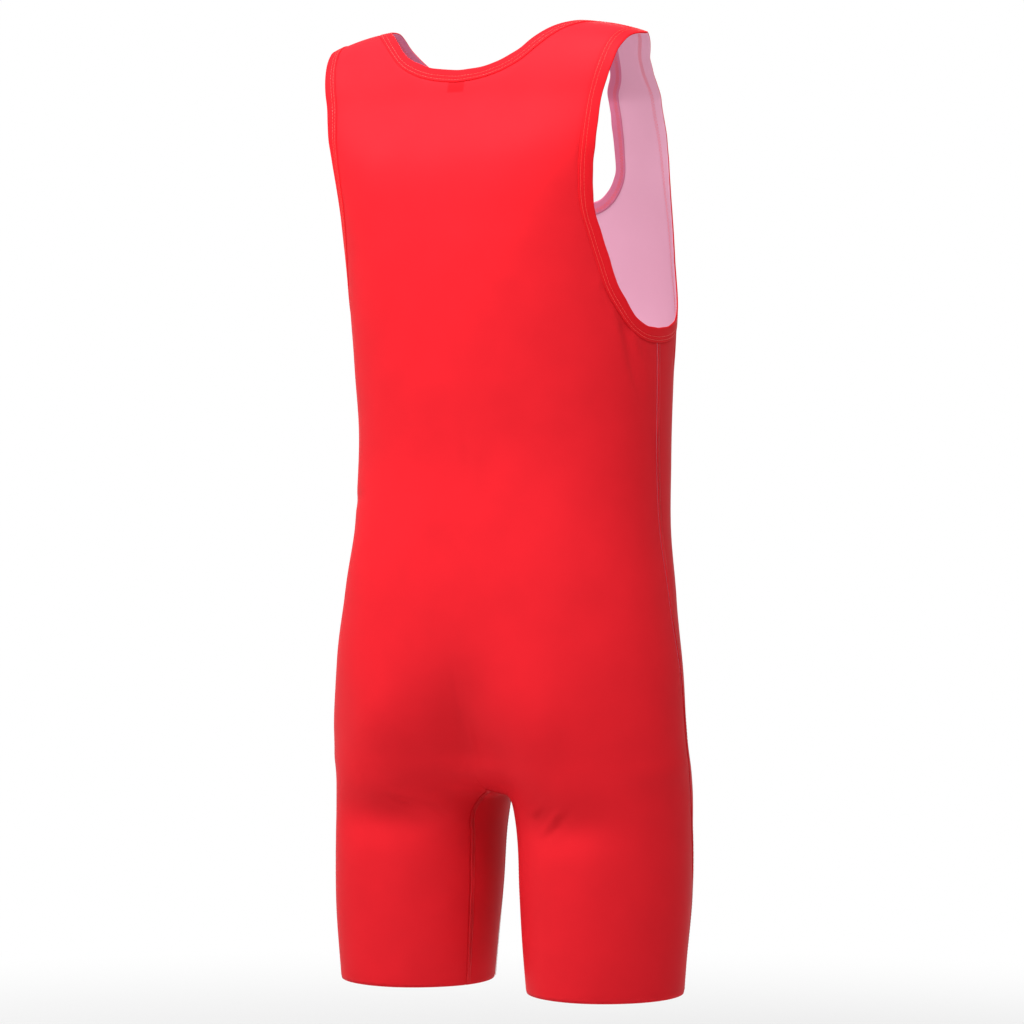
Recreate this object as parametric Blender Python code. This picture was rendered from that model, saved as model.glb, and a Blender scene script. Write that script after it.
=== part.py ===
# Wrestling singlet, worn and hollow, in metres. Up is +Z, the front faces -Y and the wearer's left is +X.
# The origin is midway between the two shoulder seams.
import bpy
import numpy as np

# Cloth and seams
WALL = 0.0014            # thickness of a panel
SEAM = 0.00032           # gap between pieces at a seam
RELIEF = 0.0005          # how far a folded binding stands above and below the panel that it edges
NECK_WIDTH = 0.0100      # width of the neck binding
ARM_WIDTH = 0.0120       # width of the armhole bindings
AXIS = -0.038            # how far the body's upright axis lies from the shoulder seams, front to back
HEM = -0.8447            # level of the leg hems

# Worn form, trunk: level, half width, back, front, fullness of the section
TRUNK = np.array([
    (0.000, 0.1970, 0.0570, -0.0760, 3.2), (-0.030, 0.1950, 0.0585, -0.0810, 3.1),
    (-0.060, 0.1890, 0.0630, -0.0920, 3.0),
    (-0.120, 0.1600, 0.0840, -0.1220, 2.6),
    (-0.180, 0.1500, 0.0850, -0.1440, 2.4),
    (-0.240, 0.1477, 0.0810, -0.1555, 2.3),
    (-0.300, 0.1459, 0.0757, -0.1521, 2.2),
    (-0.380, 0.1445, 0.0691, -0.1471, 2.2),
    (-0.440, 0.1459, 0.0709, -0.1409, 2.2),
    (-0.500, 0.1549, 0.0732, -0.1331, 2.2),
    (-0.560, 0.1619, 0.0680, -0.1197, 2.2),
    (-0.620, 0.1580, 0.0494, -0.0949, 2.2),
    (-0.680, 0.1396, 0.0140, -0.0676, 2.2)])
# Worn form, thigh: level, centre, half width, back, front
THIGH = np.array([
    (-0.500, 0.0780, 0.0500, 0.0450, -0.1000),
    (-0.540, 0.0778, 0.0620, 0.0464, -0.1117),
    (-0.580, 0.0794, 0.0716, 0.0495, -0.1199),
    (-0.620, 0.0831, 0.0781, 0.0524, -0.1222),
    (-0.660, 0.0896, 0.0788, 0.0497, -0.1208),
    (-0.700, 0.0938, 0.0766, 0.0450, -0.1167),
    (-0.760, 0.0957, 0.0756, 0.0420, -0.1102),
    (-0.820, 0.0960, 0.0715, 0.0397, -0.1037),
    (-0.860, 0.0963, 0.0677, 0.0377, -0.1028)])
TOP_LEVEL = 0.0
SHOULDER_LEVEL, SHOULDER_RISE = -0.060, 0.0658
SHOULDER_RIDGE, SHOULDER_FALL = 0.002, 0.0335      # where the shoulders start to slope down to the front, and how steeply
FORK_LEVEL, FORK_DROP = -0.640, 0.030
THIGH_TOP, THIGH_RISE = -0.500, 0.100
# Seat: height, then centre and half size across and up, of each swelling or hollow
SEAT = ((0.0095, 0.074, -0.602, 0.045, 0.050), (-0.0090, 0.000, -0.634, 0.021, 0.052), (-0.0085, 0.078, -0.693, 0.056, 0.021))
SEAT_EASE = 0.040          # depth over which they fade in, from the body's middle
BLEND = 0.012

# Side seam: level, where its ray starts across the body, angle from the side in degrees
SIDE = np.array([
    (-0.263, 0.000, 1.0),
    (-0.360, 0.000, 0.0),
    (-0.450, 0.000, -1.0),
    (-0.540, 0.015, -2.5),
    (-0.600, 0.045, -6.5),
    (-0.660, 0.080, -12.5),
    (-0.720, 0.094, -20.0),
    (-0.780, 0.095, -26.0),
    (-0.850, 0.095, -30.0)])
# Inner edge of a panel, inner leg seam to centre line: level of the row, start of the ray across and up, its angles
INNER = np.array([
    (-0.850, 0.095, -0.850, 155.0, 0.0),
    (-0.790, 0.095, -0.790, 155.0, 0.0),
    (-0.735, 0.095, -0.735, 155.0, 0.0),
    (-0.710, 0.088, -0.710, 152.0, -3.0),
    (-0.695, 0.070, -0.694, 143.0, -9.0),
    (-0.681, 0.043, -0.677, 124.0, -16.0),
    (-0.669, 0.018, -0.660, 104.0, -22.0),
    (-0.658, 0.000, -0.645, 90.0, -25.0),
    (-0.630, 0.000, -0.622, 90.0, -14.0),
    (-0.590, 0.000, -0.588, 90.0, -3.0),
    (-0.550, 0.000, -0.550, 90.0, 0.0),
    (-0.263, 0.000, -0.255, 90.0, 0.0)])
FORK_ROW = -0.658        # row whose inner end is where the gusset meets the centre line
ARCH_LEVEL = -0.735      # row where the gusset's middle starts to arch over to the other leg
# Guides of the free edges of armhole and neck, across, front to back, up
BACK_ARM = np.array([
    (0.1490, -0.035, -0.2630), (0.1487, -0.018, -0.2615), (0.1475, -0.003, -0.2550), (0.1440, 0.009, -0.2430),
    (0.1380, 0.020, -0.2270), (0.1345, 0.029, -0.2060), (0.1312, 0.037, -0.1850), (0.1290, 0.047, -0.1600),
    (0.1300, 0.052, -0.1310), (0.1336, 0.052, -0.0970), (0.1380, 0.049, -0.0675), (0.1430, 0.042, -0.0430),
    (0.1480, 0.027, -0.0215), (0.1550, 0.002, -0.0125)])
FRONT_ARM = np.array([
    (0.1490, -0.035, -0.2630), (0.1470, -0.054, -0.2610), (0.1410, -0.075, -0.2550), (0.1335, -0.091, -0.2420),
    (0.1290, -0.100, -0.2200), (0.1270, -0.099, -0.1860), (0.1255, -0.096, -0.1500), (0.1245, -0.092, -0.1055),
    (0.1235, -0.082, -0.0700), (0.1260, -0.067, -0.0460), (0.1330, -0.047, -0.0280), (0.1440, -0.024, -0.0165),
    (0.1550, 0.002, -0.0125)])
BACK_NECK = np.array([
    (0.0000, 0.061, -0.0392), (0.0200, 0.060, -0.0371), (0.0385, 0.058, -0.0323), (0.0540, 0.054, -0.0247),
    (0.0680, 0.044, -0.0136), (0.0812, 0.032, -0.0040), (0.0912, 0.020, 0.0004), (0.0960, 0.002, 0.0016)])
FRONT_NECK = np.array([
    (0.0000, -0.126, -0.1514), (0.0180, -0.125, -0.1498), (0.0355, -0.124, -0.1448), (0.0490, -0.120, -0.1352),
    (0.0587, -0.116, -0.1218), (0.0638, -0.107, -0.1000), (0.0678, -0.096, -0.0720), (0.0700, -0.089, -0.0440),
    (0.0800, -0.072, -0.0375), (0.0930, -0.044, -0.0200), (0.0975, -0.030, -0.0110), (0.0985, -0.016, -0.0035),
    (0.0960, 0.002, 0.0016)])
# Shares of an edge's length: where the armhole edge turns up, then where the strap starts on it and on the neck edge
BACK_SPLIT = (0.14, 0.62, 0.62)
FRONT_SPLIT = (0.15, 0.52, 0.40)

COLUMNS = 14             # from side seam to centre line
PIT_COLUMNS = 3          # of those, how many end under the armhole
STRAP_COLUMNS = 5        # of the rest, how many run up the strap
YOKE_LEVEL = -0.244      # centre line's level on the row where the armhole turns up
LABEL = (0.0160, 0.0110, 0.0010)


def along(table, where):
    """Values of a table's columns on a smooth curve through its rows; the first column says where."""
    t = table[np.argsort(table[:, 0])]
    z, v = t[:, 0], t[:, 1:]
    rate = np.gradient(v, z, axis=0)
    where = np.clip(where, z[0], z[-1])
    i = np.clip(np.searchsorted(z, where) - 1, 0, len(z) - 2)
    h = (z[i + 1] - z[i])[..., None]
    s = (where - z[i])[..., None] / h
    return ((2 * s**3 - 3 * s**2 + 1) * v[i] + (s**3 - 2 * s**2 + s) * h * rate[i]
            + (3 * s**2 - 2 * s**3) * v[i + 1] + (s**3 - s**2) * h * rate[i + 1])


def seat(x, z):
    """How far the back of the form swells out: two rounds, less the cleft between them and the fold below."""
    x = np.abs(x)
    total = 0
    for height, across, level, width, depth in SEAT:
        total = total + height * np.exp(-((x - across) / width)**2 - ((z - level) / depth)**2)
    return total


def form(p):
    """The worn form as a field, below nought inside: trunk and two thighs run together."""
    x, y, z = p[..., 0], p[..., 1], p[..., 2]
    y = y - seat(x, z) * np.clip(y / SEAT_EASE, 0, 1)**2 * (3 - 2 * np.clip(y / SEAT_EASE, 0, 1))
    wide, back, front, full = np.moveaxis(along(TRUNK, np.clip(z, FORK_LEVEL, TOP_LEVEL)), -1, 0)
    mid, deep = (back + front) / 2, (back - front) / 2
    top = np.clip(z - SHOULDER_LEVEL, 0, None) / SHOULDER_RISE
    low = np.clip(FORK_LEVEL - z, 0, None) / FORK_DROP
    ease = np.clip(top, 0, 1)**2 * (3 - 2 * np.clip(top, 0, 1))
    behind = np.clip(y - mid, 0, None) / deep
    before = np.clip(mid + (SHOULDER_RIDGE - mid) * ease - y, 0, None) / (deep + (SHOULDER_FALL - deep) * ease)
    r = np.abs(x / wide)**full + behind**full + before**full + top**2.2 + low**2.2
    parts = [(r**(1 / full) - 1) * 0.11]
    centre, wide, back, front = np.moveaxis(along(THIGH, np.clip(z, -0.86, THIGH_TOP)), -1, 0)
    mid, deep = (back + front) / 2, (back - front) / 2
    top = np.clip(z - THIGH_TOP, 0, None) / THIGH_RISE
    for side in (1, -1):
        r = ((x - side * centre) / wide)**2 + ((y - mid) / deep)**2 + top**2
        parts.append((np.sqrt(r) - 1) * 0.078)
    f = np.stack(parts)
    least = f.min(0)
    return least - BLEND * np.log(np.exp((least - f) / BLEND).sum(0))


def unit(v):
    return v / np.linalg.norm(v, axis=-1, keepdims=True)


def steepest(p):
    """Direction in which the field grows."""
    h = 2e-4
    return np.stack([form(p + h * e) - form(p - h * e) for e in np.eye(3)], -1) / (2 * h)


def cast(start, way, reach=0.26):
    """Where rays from inside first leave the form."""
    steps = 52
    far = np.full(start.shape[:-1], reach)
    found = np.zeros(start.shape[:-1], bool)
    for t in np.linspace(0, reach, steps + 1)[1:]:
        out = (form(start + t * way) > 0) & ~found
        far[out] = t
        found |= out
    near = far - reach / steps
    for _ in range(24):
        t = (near + far) / 2
        inside = form(start + t[..., None] * way) < 0
        near = np.where(inside, t, near)
        far = np.where(inside, far, t)
    return start + t[..., None] * way


def settle(p):
    """Moves points along the field's slope onto the form."""
    for _ in range(5):
        g = steepest(p)
        p = p - (form(p) / (g**2).sum(-1))[..., None] * g
    return p


def aim(guide):
    """Carries guide points onto the form: out from the upright axis low down, straight over the shoulder high up."""
    w = np.clip((guide[..., 2] + 0.26) / 0.16, 0, 1)
    w = w * w * (3 - 2 * w)
    high = np.clip((guide[..., 2] + 0.1) / 0.1, 0, 1)
    start = np.stack([guide[..., 0] * w * 0.97, np.full(w.shape, AXIS),
                      np.minimum(guide[..., 2], -0.060 - 0.03 * high)], -1)
    return cast(start, unit(guide - start))


def shares(curve):
    d = np.concatenate([[0], np.cumsum(np.linalg.norm(np.diff(curve, axis=0), axis=1))])
    return d / d[-1]


def edge(curve, s):
    """Points at shares s of the length of an edge's guide curve."""
    return along(np.column_stack([shares(curve), curve]), np.asarray(s, float))


def rays(side_level, row, face, u):
    """Starts and directions of a row's rays, from the side seam to the panel's inner edge; face is 1 behind, -1 in front."""
    across, turn = along(SIDE, side_level).T
    in_across, in_up, in_turn, in_tilt = along(INNER, row).T
    u = u[None, :]
    start = np.stack([across[:, None] * (1 - u) + in_across[:, None] * u, np.full((len(row), u.size), AXIS),
                      side_level[:, None] * (1 - u) + in_up[:, None] * u], -1)
    a = np.radians((turn * face)[:, None] * (1 - u) + in_turn[:, None] * u)
    b = np.radians(in_tilt[:, None] * u**2)
    way = np.stack([np.cos(a) * np.cos(b), face * np.sin(a) * np.cos(b), np.sin(b)], -1)
    return start, way


def coons(bottom, top, left, right):
    """Fills four edge curves: rows go from bottom to top, columns from left to right."""
    v = np.linspace(0, 1, len(left))[:, None, None]
    u = np.linspace(0, 1, len(bottom))[None, :, None]
    return ((1 - v) * bottom + v * top + (1 - u) * left[:, None] + u * right[:, None]
            - (1 - u) * (1 - v) * bottom[0] - u * (1 - v) * bottom[-1] - (1 - u) * v * top[0] - u * v * top[-1])


def panel(face, arm, neck, split, body_rows, strap_rows):
    """Half a panel as three grids: from hem to armpit, on to the strap's base, and the strap."""
    n, pit = STRAP_COLUMNS, PIT_COLUMNS
    low = np.array([HEM, -0.830, -0.812, -0.792, -0.772, -0.752, -0.735, -0.720, -0.708, -0.697, -0.687, -0.678,
                    -0.670, -0.664, FORK_ROW, -0.648, -0.634, -0.618, -0.600, -0.582, -0.562, -0.540, -0.515,
                    -0.485, -0.452, -0.420, -0.388, -0.356, -0.326, -0.299, arm[0, 2]])
    main = cast(*rays(low, low, face, np.linspace(0, 1, COLUMNS + 1)))

    # The top row follows the armhole edge, then crosses to the centre line, and the rows below ease towards it
    turn = edge(arm, np.linspace(0, split[0], pit + 1))
    centre = np.array([0, 0.09 * face + AXIS * (face < 0), YOKE_LEVEL])
    row = turn[-1] + (centre - turn[-1]) * np.linspace(0, 1, COLUMNS - pit + 1)[:, None]
    row = aim(np.vstack([turn, row[1:]]))
    share = np.clip((low + 0.388) / (low[-1] + 0.388), 0, 1)[:, None, None]
    main[low > -0.388] = aim(main + (row - main[-1]) * share**2 * (3 - 2 * share))[low > -0.388]

    side = edge(arm, np.linspace(split[0], split[1], body_rows + 1))
    middle = np.linspace(YOKE_LEVEL, neck[0, 2], body_rows + 1)
    middle = cast(np.column_stack([0 * middle, AXIS + 0 * middle, middle]), np.array([0, face, 0.0]))
    corner = edge(neck, [split[2]])[0]
    base = side[-1] + (corner - side[-1]) * np.linspace(0, 1, n + 1)[:, None]
    scoop = edge(neck, np.linspace(split[2], 0, COLUMNS - pit - n + 1))
    body = aim(coons(main[-1, pit:], np.vstack([base, scoop[1:]]), aim(side), middle))
    strap_side = edge(arm, np.linspace(split[1], 1, strap_rows + 1))
    strap_neck = edge(neck, np.linspace(split[2], 1, strap_rows + 1))
    top = strap_side[-1] + (strap_neck[-1] - strap_side[-1]) * np.linspace(0, 1, n + 1)[:, None]
    strap = aim(coons(base, top, strap_side, strap_neck))
    main[low >= FORK_ROW - 1e-6, -1, 0] = 0
    body[:, -1, 0] = 0
    body[0] = main[-1, pit:]
    strap[0] = body[-1, :n + 1]
    return main, body, strap, low


def tuck(edge_points, inner_points):
    """Draws a seam edge back by half the seam gap."""
    return edge_points + unit(inner_points - edge_points) * SEAM / 2


def quads(grid_shape, first=0):
    r, c = grid_shape
    i = first + np.arange(r * c).reshape(r, c)
    return np.stack([i[:-1, :-1], i[:-1, 1:], i[1:, 1:], i[1:, :-1]], -1).reshape(-1, 4)


def join(pieces):
    """Runs grids of points together into one open sheet, sharing points that meet."""
    points, faces, n = [], [], 0
    for grid, flip in pieces:
        q = quads(grid.shape[:2], n)
        faces.append(q[:, ::-1] if flip else q)
        points.append(grid.reshape(-1, 3))
        n += points[-1].shape[0]
    points, faces = np.concatenate(points), np.concatenate(faces)
    _, first, index = np.unique(np.round(points, 7), axis=0, return_index=True, return_inverse=True)
    return points[first], index.reshape(-1)[faces]


def thicken(points, faces, wall):
    """Closes a sheet that lies on the form into a solid wall, inwards."""
    n = len(points)
    under = points - unit(steepest(points)) * wall
    ends = np.concatenate([faces[:, [k, (k + 1) % 4]] for k in range(4)])
    key = np.sort(ends, axis=1)
    _, index, count = np.unique(key, axis=0, return_index=True, return_counts=True)
    rim = ends[index[count == 1]]
    rim = np.stack([rim[:, 1], rim[:, 0], rim[:, 0] + n, rim[:, 1] + n], -1)
    return np.concatenate([points, under]), np.concatenate([faces, faces[:, ::-1] + n, rim])


def mirrored(grid):
    return grid * np.array([-1, 1, 1])


def outward(points, faces):
    """Turns all faces round where the sheet looks inwards."""
    a, b, c = (points[faces[:, k]] for k in range(3))
    out = (np.cross(b - a, c - a) * steepest((a + c) / 2)).sum()
    return faces if out > 0 else faces[:, ::-1]


def sideways(ring, towards):
    """Directions in the form's surface, square to a closed ring of points, on the side that the hint points to."""
    tangent = unit(np.roll(ring, -1, 0) - np.roll(ring, 1, 0))
    across = unit(np.cross(unit(steepest(ring)), tangent))
    return across * np.sign((across * towards).sum())


def inset(ring, width):
    """The seam line of a binding, one width in from the free edge; the hint is away from the ring's middle."""
    ring = settle(ring)
    return settle(ring + sideways(ring, ring - ring.mean(0)) * width)


def ribbon(ring, width):
    """Folded tape between a panel's edge ring and the free edge, a width nearer the opening's middle."""
    across = sideways(ring, ring.mean(0) - ring)
    spots = ((SEAM, 0.8), (width / 2, 1.0), (width - 0.0008, 0.6))
    base = [settle(ring + across * d) for d, _ in spots] + [settle(ring + across * width)]
    out = [unit(steepest(p)) for p in base]
    upper = [base[k] + out[k] * RELIEF * share for k, (_, share) in enumerate(spots)]
    under = [base[k] - out[k] * (WALL + RELIEF * share) for k, (_, share) in enumerate(spots)]
    loop = np.stack(upper + [base[3] - out[3] * WALL / 2] + under[::-1], 1)
    m, k = loop.shape[:2]
    i = np.arange(m * k).reshape(m, k)
    j = np.roll(i, -1, 0)
    faces = np.stack([i, np.roll(i, -1, 1), np.roll(j, -1, 1), j], -1).reshape(-1, 4)
    return loop.reshape(-1, 3), faces


def volume(points, faces):
    a, b, c, d = (points[faces[:, k]] for k in range(4))
    return (np.einsum("ij,ij->i", a, np.cross(b, c)) + np.einsum("ij,ij->i", a, np.cross(c, d))).sum() / 6


def solid(name, points, faces, colour, roughness):
    if volume(points, faces) < 0:
        faces = faces[:, ::-1]
    mesh = bpy.data.meshes.new(name)
    mesh.from_pydata(points.tolist(), [], faces.tolist())
    mesh.validate()
    obj = bpy.data.objects.new(name, mesh)
    bpy.context.scene.collection.objects.link(obj)
    material = bpy.data.materials.new(name + "_cloth")
    material.use_nodes = True
    shader = material.node_tree.nodes["Principled BSDF"]
    shader.inputs["Base Color"].default_value = (*colour, 1)
    shader.inputs["Roughness"].default_value = roughness
    shader.inputs["Metallic"].default_value = 0
    mesh.materials.append(material)
    return obj


def panel_solid(name, main, body, strap, low):
    """Both halves of a panel as one wall, drawn back a little along its seams."""
    main, body, strap = main.copy(), body.copy(), strap.copy()
    fork = int(np.argmin(np.abs(low - FORK_ROW)))
    main[:, 0] = tuck(main[:, 0], main[:, 1])
    main[:fork, -1] = tuck(main[:fork, -1], main[:fork, -2])
    main[fork, -1] = tuck(main[fork, -1], main[fork + 1, -1])
    strap[-1] = tuck(strap[-1], strap[-2])
    halves = [(grid, False) for grid in (main, body, strap)] + [(mirrored(grid), True) for grid in (main, body, strap)]
    points, faces = join(halves)
    faces = outward(points, faces)
    return solid(name, *thicken(points, faces, WALL), CLOTH, 0.45)


def edges_of(main, body, strap):
    """The armhole edge and the neck edge of a half panel, each up to the shoulder seam."""
    n, pit = STRAP_COLUMNS, PIT_COLUMNS
    return (np.concatenate([main[-1, :pit + 1], body[1:, 0], strap[1:, 0]]),
            np.concatenate([body[-1, n:][::-1], strap[1:, n]]))


def gusset_grid(rows, columns):
    """Half the gusset, from a leg hem to the middle of the fork, back edge to front edge."""
    start, way = (v[:, 0] for v in rays(rows, rows, 1, np.array([1.0])))
    back = cast(start, way)
    front = cast(start, way * np.array([1, -1, 1]))
    middle = cast(start * np.array([1, 1, 0]) + rows[:, None] * np.array([0, 0, 1]), np.array([-1.0, 0, 0]))

    # Above the straight part of the leg the middle line follows a quarter of an ellipse up to the fork's crown
    foot = np.flatnonzero(rows <= ARCH_LEVEL + 1e-6)[-1]
    turn = (rows[foot:] - rows[foot]) / (rows[-1] - rows[foot]) * np.pi / 2
    crown = cast(np.array([[0, AXIS, ARCH_LEVEL + 0.12]]), np.array([[0, 0, -1.0]]))[0]
    rise = (crown[2] - middle[foot, 2]) * np.sin(turn)
    arch = np.stack([middle[foot, 0] * np.cos(turn), AXIS + 0 * turn, middle[foot, 2] + rise], -1)
    middle[foot:] = settle(arch)

    v = np.linspace(0, 1, columns + 1)[None, :, None]
    pull = 2 * middle[:, None] - (back + front)[:, None] / 2
    grid = settle((1 - v)**2 * back[:, None] + 2 * v * (1 - v) * pull + v**2 * front[:, None])
    grid[:, 0], grid[:, -1] = back, front
    return grid


for old in list(bpy.data.objects):
    bpy.data.objects.remove(old)

CLOTH = (0.62, 0.03, 0.045)
BAND = (0.50, 0.02, 0.035)

# Seam lines of the bindings, from the free edges
ring = inset(np.concatenate([BACK_ARM, FRONT_ARM[::-1][1:-1]]), ARM_WIDTH)
backArm, frontArm = ring[:len(BACK_ARM)], np.concatenate([ring[len(BACK_ARM) - 1:], ring[:1]])[::-1]
half = np.concatenate([BACK_NECK, FRONT_NECK[::-1][1:]])
ring = inset(np.concatenate([half, mirrored(half)[::-1][1:-1]]), NECK_WIDTH)
backNeck, frontNeck = ring[:len(BACK_NECK)], ring[len(BACK_NECK) - 1:len(half)][::-1]

backMain, backBody, backStrap, low = panel(1, backArm, backNeck, BACK_SPLIT, 9, 11)
frontMain, frontBody, frontStrap, _ = panel(-1, frontArm, frontNeck, FRONT_SPLIT, 8, 13)
panel_solid("back_panel", backMain, backBody, backStrap, low)
panel_solid("front_panel", frontMain, frontBody, frontStrap, low)

# The gusset shares its edges' rows with the panels
rows = low[low <= FORK_ROW + 1e-6]
grid = gusset_grid(rows, 8)
grid[-1, :, 0] = 0
grid[:, 0] = tuck(grid[:, 0], grid[:, 1])
grid[:, -1] = tuck(grid[:, -1], grid[:, -2])
points, faces = join([(grid, False), (mirrored(grid), True)])
solid("gusset", *thicken(points, outward(points, faces), WALL), CLOTH, 0.45)

# Bindings, each station at a point of a panel's edge
armBack, neckBack = edges_of(backMain, backBody, backStrap)
armFront, neckFront = edges_of(frontMain, frontBody, frontStrap)
armRing = np.concatenate([armBack, armFront[::-1][1:-1]])
for side, name in ((1, "armhole_binding_left"), (-1, "armhole_binding_right")):
    points, faces = ribbon(armRing, ARM_WIDTH)
    solid(name, points * np.array([side, 1, 1]), faces, BAND, 0.5)
half = np.concatenate([neckBack, neckFront[::-1][1:]])
ring = np.concatenate([half, mirrored(half)[::-1][1:-1]])
points, faces = ribbon(ring, NECK_WIDTH)
solid("neck_binding", points, faces, BAND, 0.5)

# Blank label inside the back neck, just below the binding's inner layer
u, v = np.meshgrid(np.linspace(-0.5, 0.5, 5), np.linspace(0, 1, 4))
guide = np.stack([u * LABEL[0], np.full(u.shape, 0.09), backBody[-1, -1, 2] - 0.0012 - v * LABEL[1]], -1)
start = np.stack([guide[..., 0], np.full(u.shape, AXIS), guide[..., 2]], -1)
grid = cast(start, unit(guide - start))
grid = grid - unit(steepest(grid)) * (WALL + SEAM + 0.00012)
points, faces = join([(grid, False)])
points, faces = thicken(points, outward(points, faces), LABEL[2])
solid("neck_label", points, faces, (0.75, 0.72, 0.72), 0.6)
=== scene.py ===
# Wrestling singlet in stretch knit, as worn by nobody, seen from behind and from the wearer's right
import math
import bpy
import numpy as np
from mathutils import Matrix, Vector


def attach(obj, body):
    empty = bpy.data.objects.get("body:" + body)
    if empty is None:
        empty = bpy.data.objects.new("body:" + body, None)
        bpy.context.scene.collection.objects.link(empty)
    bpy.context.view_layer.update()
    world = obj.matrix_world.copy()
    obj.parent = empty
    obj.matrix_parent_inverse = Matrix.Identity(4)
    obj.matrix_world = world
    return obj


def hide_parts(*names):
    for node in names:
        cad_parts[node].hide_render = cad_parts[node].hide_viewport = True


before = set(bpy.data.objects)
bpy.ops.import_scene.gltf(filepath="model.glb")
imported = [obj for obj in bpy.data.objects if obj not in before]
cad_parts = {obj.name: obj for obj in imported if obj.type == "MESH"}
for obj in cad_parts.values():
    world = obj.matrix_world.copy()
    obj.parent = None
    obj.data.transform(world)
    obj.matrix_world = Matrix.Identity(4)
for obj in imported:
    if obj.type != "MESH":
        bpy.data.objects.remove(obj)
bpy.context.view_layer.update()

print("frame loaded:", len(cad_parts), "nodes")

# The worn form that all the cloth lies on, in metres, up is +Z and the front faces -Y.
# Trunk rows: level, half width, back, front, fullness. Thigh rows: level, centre, half width, back, front.
wornForm = {
    "trunk": np.array([
        (0.000, 0.1970, 0.0570, -0.0760, 3.2),
        (-0.030, 0.1950, 0.0585, -0.0810, 3.1),
        (-0.060, 0.1890, 0.0630, -0.0920, 3.0),
        (-0.120, 0.1600, 0.0840, -0.1220, 2.6),
        (-0.180, 0.1500, 0.0850, -0.1440, 2.4),
        (-0.240, 0.1477, 0.0810, -0.1555, 2.3),
        (-0.300, 0.1459, 0.0757, -0.1521, 2.2),
        (-0.380, 0.1445, 0.0691, -0.1471, 2.2),
        (-0.440, 0.1459, 0.0709, -0.1409, 2.2),
        (-0.500, 0.1549, 0.0732, -0.1331, 2.2),
        (-0.560, 0.1619, 0.0680, -0.1197, 2.2),
        (-0.620, 0.1580, 0.0494, -0.0949, 2.2),
        (-0.680, 0.1396, 0.0140, -0.0676, 2.2)]),
    "thigh": np.array([
        (-0.500, 0.0780, 0.0500, 0.0450, -0.1000),
        (-0.540, 0.0778, 0.0620, 0.0464, -0.1117),
        (-0.580, 0.0794, 0.0716, 0.0495, -0.1199),
        (-0.620, 0.0831, 0.0781, 0.0524, -0.1222),
        (-0.660, 0.0896, 0.0788, 0.0497, -0.1208),
        (-0.700, 0.0938, 0.0766, 0.0450, -0.1167),
        (-0.760, 0.0957, 0.0756, 0.0420, -0.1102),
        (-0.820, 0.0960, 0.0715, 0.0397, -0.1037),
        (-0.860, 0.0963, 0.0677, 0.0377, -0.1028)]),
    "topLevel": 0.0, "shoulderLevel": -0.060, "shoulderRise": 0.0658,
    # where the shoulders start to slope to the front, and how far they reach there
    "shoulderRidge": 0.002, "shoulderFall": 0.0335,
    "forkLevel": -0.640, "forkDrop": 0.030, "endPower": 2.2,
    "thighTop": -0.500, "thighRise": 0.100, "thighFoot": -0.86,
    "soft": 0.005,          # height over which trunk and thighs stop following their tables
    # seat: height, then centre and half size across and up, of each swelling or hollow
    "seat": ((0.0095, 0.074, -0.602, 0.045, 0.050), (-0.0090, 0.000, -0.634, 0.021, 0.052),
             (-0.0085, 0.078, -0.693, 0.056, 0.021)),
    "seatEase": 0.040,      # depth over which the seat fades in, from the body's middle
    "blend": 0.012, "trunkSize": 0.11, "thighSize": 0.078,
    # guide points above the aim level are aimed at over the shoulder, from a start that drops away at the
    # top
    "aimLevel": -0.26, "aimRise": 0.16, "aimTop": -0.060, "aimDrop": 0.03,
    "axis": -0.038,         # how far the body's upright axis lies from the shoulder seams
}


# Smooth curve through a table's rows: cubic Hermite pieces, with each slope the mean of its neighbours
def smoothTable(table, where):
    rows = table[np.argsort(table[:, 0])]
    at, value = rows[:, 0], rows[:, 1:]
    slope = np.gradient(value, at, axis=0)
    where = np.clip(where, at[0], at[-1])
    i = np.clip(np.searchsorted(at, where) - 1, 0, len(at) - 2)
    span = (at[i + 1] - at[i])[..., None]
    s = (where - at[i])[..., None] / span
    return ((2 * s**3 - 3 * s**2 + 1) * value[i] + (s**3 - 2 * s**2 + s) * span * slope[i]
            + (3 * s**2 - 2 * s**3) * value[i + 1] + (s**3 - s**2) * span * slope[i + 1])


def smoothStep(x):
    x = np.clip(x, 0, 1)
    return x * x * (3 - 2 * x)


# How far the seat swells out: bells of two rounds, less the cleft between them and the fold below
def seatSwell(x, z):
    x = np.abs(x)
    return sum(height * np.exp(-((x - across) / width)**2 - ((z - level) / depth)**2)
               for height, across, level, width, depth in wornForm["seat"])


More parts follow.
